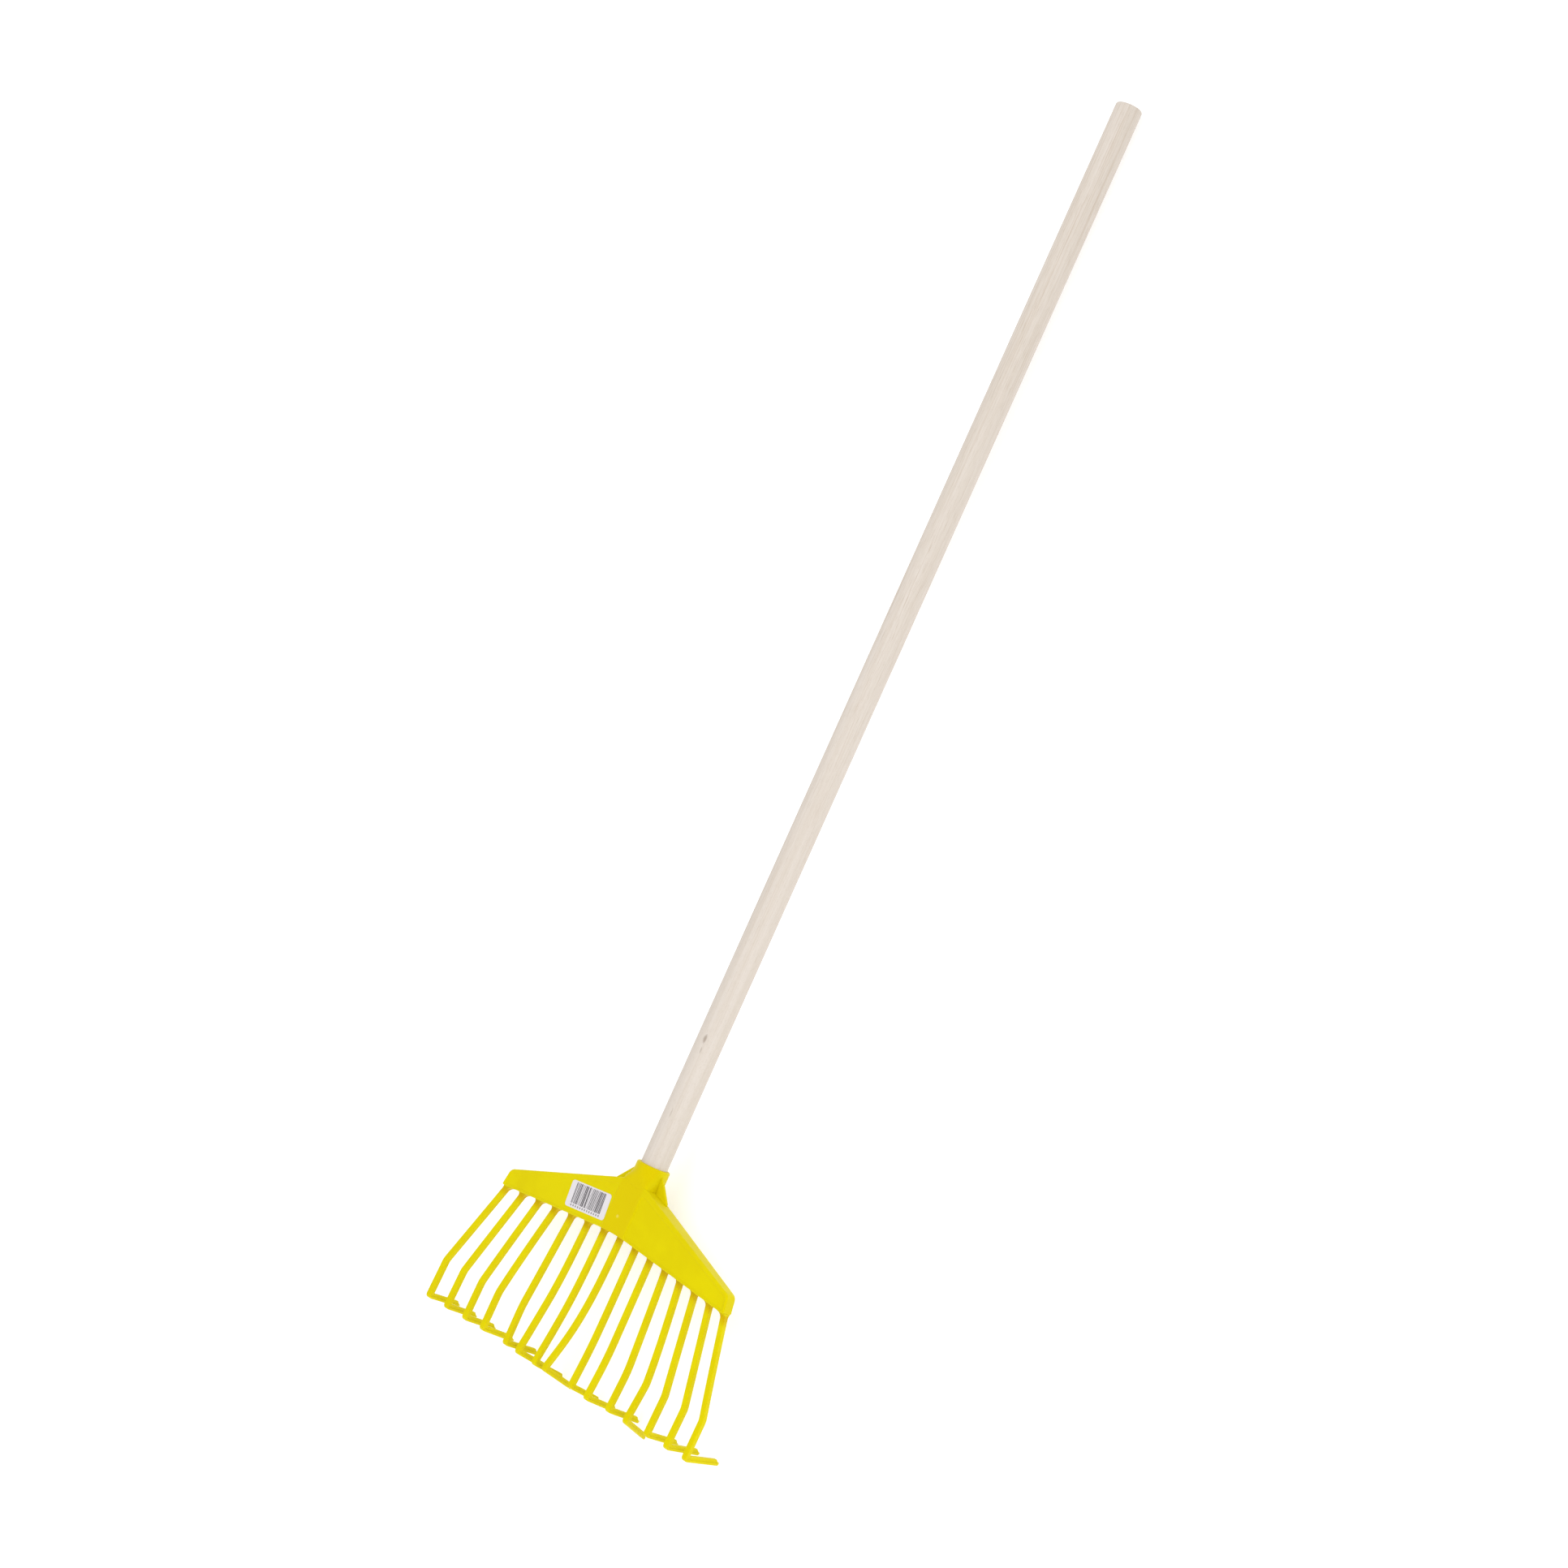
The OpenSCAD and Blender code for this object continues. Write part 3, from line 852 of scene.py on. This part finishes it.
class Tine:
    """The course of one tine, in a frame of its own at its hinge, and the rings along it."""

    def __init__(self, number):
        self.number = number
        k = number - MIDDLE
        self.bend, self.corner, lower, opened, self.twist = STRAY[number - 1]
        self.x0 = k * ROOT_PITCH
        self.y0 = low_edge(self.x0) - STUB_L
        self.z0 = ROOT_Z + DISH * (k / (MIDDLE - 1)) ** 2
        self.kink = KINK_Y - self.y0
        self.last = CORNER_Y + OUTER_R - lower - self.y0
        self.even = k * TIP_PITCH - self.x0
        # The tines near the middle bend gently, and those towards the ends have a kink.
        self.soft = 16 - 13.5 * min(1, max(0, abs(k) - 2) / 2)
        self.rise = atan2(RISE, -self.last)
        self.down = DEPTH / 2 + INNER_R
        self.turn = radians(90 - opened)

    def place(self, x, y, z):
        """A point of the tine's frame as a point of the handle's frame."""
        c, s = cos(self.rise), sin(self.rise)
        return (self.x0 + x, self.y0 + y * c + z * s, self.z0 - y * s + z * c)

    def x_at(self, y):
        """How far the tine is to the side of its root, at y."""
        return sideways(y, self.soft, self.kink, self.last, self.even, self.bend, self.corner)

    def root_and_shaft(self):
        """From inside the head, through the fillets at the root, down to the corner."""
        starts = (0.15, 0.4, 0.8, 1.3, 1.9, 2.6, 3.4, 4.2, 5.1, 6.0)
        ys = [STUB_L + 1.6, STUB_L + 0.2] + [STUB_L - d for d in starts]
        top, last = ys[-1], self.last
        count = round((top - last) / 2.5)
        ys += [top + (last - top) * s / count for s in range(1, count + 1)]
        return [self.shaft_ring(y) for y in ys]

    def shaft_ring(self, y):
        """A ring level with the head, wider where the tine slants and at its root."""
        below = max(0.0, STUB_L - y)
        flare = ROOT_FILLET - sqrt(ROOT_FILLET ** 2 - max(0, ROOT_FILLET - below) ** 2)
        out = flare * 0.35
        left = 0 if self.number == 1 else flare
        right = 0 if self.number == TINES else flare
        slope = self.x_at(y + 0.5) - self.x_at(y - 0.5)
        wide = 1 if y == self.last else hypot(1, slope)
        flange = (FLANGE_HALF * wide + left, FLANGE_HALF * wide + right)
        rib = (RIB_HALF * wide + left, RIB_HALF * wide + right)
        profile = section(flange, rib, INNER_R - out, SEAM_R, OUTER_R + out)
        x = self.x_at(y)
        return [self.place(x + w, y, r - self.down) for w, r in profile]

    def hook_ring(self, angle, length, flange, rib, r_in, seam, r_out, twist):
        """A ring square to the hook, at an angle round its corner or a length beyond it."""
        tau = radians(twist)
        x0 = self.x_at(self.last)
        ring = []
        for w, r in section((flange, flange), (rib, rib), r_in, seam, r_out):
            y = self.last - r * sin(angle) - length * cos(angle)
            z = r * cos(angle) - length * sin(angle) - self.down
            x = w * cos(tau) + z * sin(tau)
            z = -w * sin(tau) + z * cos(tau)
            ring.append(self.place(x0 + x, y, z))
        return ring

    def round_the_corner(self):
        """From the shaft to the hook, while the rib grows thinner and the twist sets in."""
        rings = []
        bends = 12
        rib_r = OUTER_R - HOOK_DEPTH
        for s in range(1, bends + 1):
            share = s / bends
            angle = self.turn * share
            r_in = INNER_R + (rib_r - INNER_R) * share
            seam = corner_reach(angle, self.turn, SEAM_R, CORNER_R - FLANGE_T)
            r_out = corner_reach(angle, self.turn, OUTER_R, CORNER_R)
            rings.append(self.hook_ring(angle, 0, FLANGE_HALF, RIB_HALF, r_in, seam, r_out,
                                        self.twist * share))
        return rings

    def along_the_hook(self):
        """The hook, whose rib slopes away and whose flange narrows to a point."""
        rings = []
        rib_r = OUTER_R - HOOK_DEPTH
        lefts = (RIB_FROM, 6, 5, POINT_L, 4, RIB_TO, 2, 1, 0.35)
        for length in [4, 9, 14, 20, 26, 32, 37] + [HOOK_L - left for left in lefts]:
            left = HOOK_L - length
            narrowed = max(0, POINT_L - left) / POINT_L
            flange = FLANGE_HALF - (FLANGE_HALF - POINT_HALF) * narrowed
            rib = min(RIB_HALF, flange - 0.25)
            gone = min(1, max(0, (RIB_FROM - left) / (RIB_FROM - RIB_TO)))
            r_in = rib_r + (SEAM_R - 0.03 - rib_r) * gone
            rings.append(self.hook_ring(self.turn, length, flange, rib, r_in, SEAM_R, OUTER_R,
                                        self.twist))
        rings.append(self.hook_ring(self.turn, HOOK_L, 0.35, 0.2, SEAM_R + 0.27, SEAM_R + 0.3,
                                    OUTER_R - 0.3, self.twist))
        return rings


def build_tine(number):
    """One tine, in one piece from inside the head to the point of its hook."""
    body = f"tine_{number:02d}"
    course = Tine(number)
    shape = Shape()
    shape.solid(course.root_and_shaft() + course.round_the_corner() + course.along_the_hook())
    tine = piece(f"{body}_moulded", shape.points, shape.faces, PLASTIC)
    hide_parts(body)
    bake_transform(tine)


# ---- the label, and the CAD nodes that stay ----

def build_label():
    """The sticker, turned a little, with each point's place on it stored for the print."""
    half_wide, half_high = LABEL_WIDE / 2, LABEL_HIGH / 2
    slant = radians(LABEL_TURN)
    mid_x, mid_y = LABEL_MIDDLE
    plan = [(-half_wide, -half_high), (half_wide, -half_high), (half_wide, half_high),
            (-half_wide, half_high)]
    bottom = rounded(inset(plan, 0), [LABEL_CORNER] * 4, CORNER_STEPS)
    top = rounded(inset(plan, 0.06), [LABEL_CORNER] * 4, CORNER_STEPS)
    layers = [(bottom, 0.01), (bottom, LABEL_THICK - 0.05), (top, LABEL_THICK)]
    rings = []
    spots = []
    for outline, up in layers:
        ring = []
        for p in outline:
            x = mid_x + p.x * cos(slant) - p.y * sin(slant)
            y = mid_y + p.x * sin(slant) + p.y * cos(slant)
            ring.append((x, y, face_z(x) - PANEL_DEPTH + up))
            spots += [p.x / LABEL_WIDE + 0.5, p.y / LABEL_HIGH + 0.5, 0]
        rings.append(ring)
    shape = Shape()
    shape.solid(rings)
    label = piece("paper_label", shape.points, shape.faces, PAPER)
    spot = label.data.attributes.new("spot", "FLOAT_VECTOR", "POINT")
    spot.data.foreach_set("vector", spots)
    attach(label, "rake_frame")
    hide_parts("label")


def paint(node, material):
    """Gives a node of the CAD its material; its shape stays as it is."""
    mesh = frame["nodes"][node].data
    mesh.materials.clear()
    mesh.materials.append(material)
    mesh.shade_smooth()


# ---- floor, light and camera ----

def build_stage():
    """A pale floor that gives a little light of its own, as a lit studio table does."""
    mesh = bpy.data.meshes.new("floor")
    size = 12.0
    corners = [(-size, -size, 0), (size, -size, 0), (size, size, 0), (-size, size, 0)]
    mesh.from_pydata(corners, [], [(0, 1, 2, 3)])
    floor = bpy.data.objects.new("floor", mesh)
    bpy.context.scene.collection.objects.link(floor)
    m = Nodes("floor_pale")
    m.set(Base_Color=(0.6, 0.6, 0.6, 1), Roughness=0.9, Specular_IOR_Level=0.1,
          Emission_Color=(1, 1, 1, 1), Emission_Strength=0.54)
    mesh.materials.append(m.material)


def light(name, at, towards, size, watts):
    """A round white softbox, with its place in metres."""
    lamp = bpy.data.lights.new(name, "AREA")
    lamp.shape = "DISK"
    lamp.size = size
    lamp.energy = watts
    obj = bpy.data.objects.new(name, lamp)
    obj.location = at
    obj.rotation_euler = (Vector(towards) - Vector(at)).to_track_quat("-Z", "Y").to_euler()
    bpy.context.scene.collection.objects.link(obj)


def build_lights():
    """Even white light all round, and four softboxes."""
    world = bpy.data.worlds.new("studio")
    world.use_nodes = True
    sky = world.node_tree.nodes["Background"]
    sky.inputs["Color"].default_value = (1, 1, 1, 1)
    sky.inputs["Strength"].default_value = 0.75
    bpy.context.scene.world = world
    light("softbox_key", (-0.6, 1.2, 2.6), (0, 0, 0), 2.2, 28)
    light("softbox_fill", (2.2, -0.4, 1.9), (0, 0, 0), 1.8, 15)
    light("softbox_side", (1.9, -0.5, 0.55), (0, -0.1, 0), 1.4, 4)
    light("softbox_foot", (0.2, -1.9, 0.7), (0, -0.1, 0), 1.4, 6)
    bpy.context.scene.view_settings.view_transform = "Standard"


def build_camera():
    """The camera, turned by its swing, then its tilt, then its roll."""
    swing, tilt, roll = CAMERA_SWING, CAMERA_TILT, CAMERA_ROLL
    away = Vector((sin(swing) * cos(tilt), sin(tilt), cos(swing) * cos(tilt)))
    side = Vector((cos(swing), 0, -sin(swing)))
    rise = away.cross(side)
    right = cos(roll) * side + sin(roll) * rise
    up = -sin(roll) * side + cos(roll) * rise
    lens = bpy.data.cameras.new("camera")
    lens.sensor_width = 36
    lens.lens = CAMERA_LENS
    lens.clip_end = 50
    camera = bpy.data.objects.new("camera", lens)
    bpy.context.scene.collection.objects.link(camera)
    turned = Matrix([TURN @ v for v in (right, up, away)]).transposed().to_4x4()
    camera.matrix_world = Matrix.Translation(row(CAMERA_SPOT)) @ turned
    bpy.context.scene.camera = camera


build_camera()
build_stage()
build_lights()
build_handle()
build_tray()
build_gate_mark()
build_collar_blend()
build_webs()
for number in range(1, TINES + 1):
    build_tine(number)
build_label()
paint("socket", PLASTIC)
paint("back_ribs", PLASTIC)
paint("fixing_screw", STEEL)
